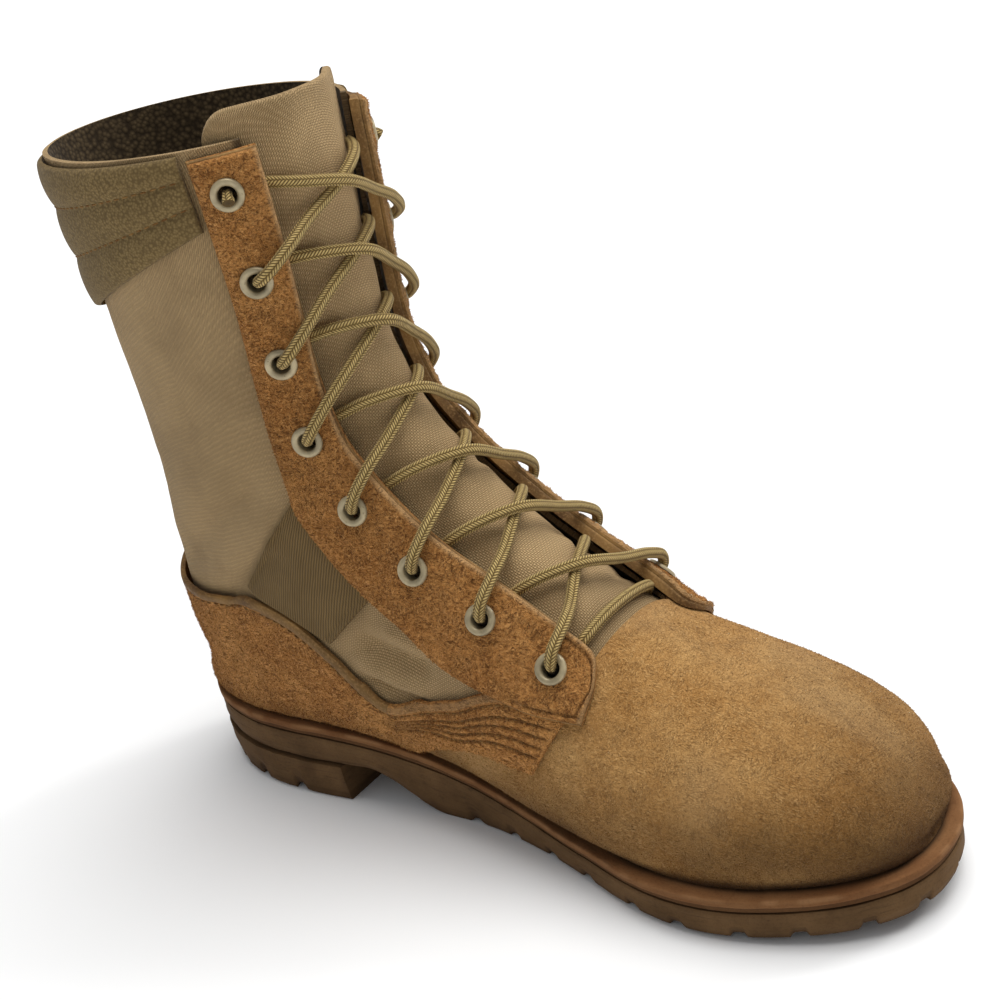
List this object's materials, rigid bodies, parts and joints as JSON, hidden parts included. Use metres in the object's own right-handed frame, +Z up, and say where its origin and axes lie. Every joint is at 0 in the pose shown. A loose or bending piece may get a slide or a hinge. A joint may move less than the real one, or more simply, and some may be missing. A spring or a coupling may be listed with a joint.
{
  "type": "combat boot",
  "caption": "Lace-up suede and nylon combat boot for a left foot, with a ridged rubber sole, open at the collar and standing empty.",
  "frame": {"origin": "middle of the boot's footprint box, on the ground under the sole", "axes": "+X from heel to toe, +Y to the outer side of the left foot, +Z up"},
  "size_m": [0.3088, 0.1104, 0.2593],
  "materials": {
    "outsole": "olive-brown rubber, scratched lengthwise",
    "midsole": "smooth orange-brown rim, dark below its lip",
    "insole": "plain dark cloth",
    "vamp_suede": "tan suede with a brushed nap, darker low down",
    "rough_suede": "redder suede with a long rough nap",
    "collar_fabric": "plain padded cloth",
    "nylon_weave": "coarse basket weave",
    "ribbed_webbing": "ribbed twill band",
    "eyelet_paint": "worn grey-khaki paint",
    "lace": "round khaki-gold braid"
  },
  "bodies": {
    "root": {"outsole": "outsole", "heel": "outsole", "midsole": "midsole", "insole": "insole", "upper": "vamp_suede", "foxing": "rough_suede", "backstay": "rough_suede", "collar": "collar_fabric", "tongue": "nylon_weave", "lace_bar": "lace", "eyestay_medial": "rough_suede", "eyestay_lateral": "rough_suede", "webbing_medial": "ribbed_webbing", "webbing_lateral": "ribbed_webbing", "eyelet_medial_1": "eyelet_paint", "eyelet_medial_2": "eyelet_paint", "eyelet_medial_3": "eyelet_paint", "eyelet_medial_4": "eyelet_paint", "eyelet_medial_5": "eyelet_paint", "eyelet_medial_6": "eyelet_paint", "eyelet_medial_7": "eyelet_paint", "eyelet_medial_8": "eyelet_paint", "eyelet_lateral_1": "eyelet_paint", "eyelet_lateral_2": "eyelet_paint", "eyelet_lateral_3": "eyelet_paint", "eyelet_lateral_4": "eyelet_paint", "eyelet_lateral_5": "eyelet_paint", "eyelet_lateral_6": "eyelet_paint", "eyelet_lateral_7": "eyelet_paint", "eyelet_lateral_8": "eyelet_paint", "lace_crossing_1": "lace", "lace_crossing_2": "lace", "lace_crossing_3": "lace", "lace_crossing_4": "lace", "lace_crossing_5": "lace", "lace_crossing_6": "lace", "lace_crossing_7": "lace"}
  },
  "joints": []
}
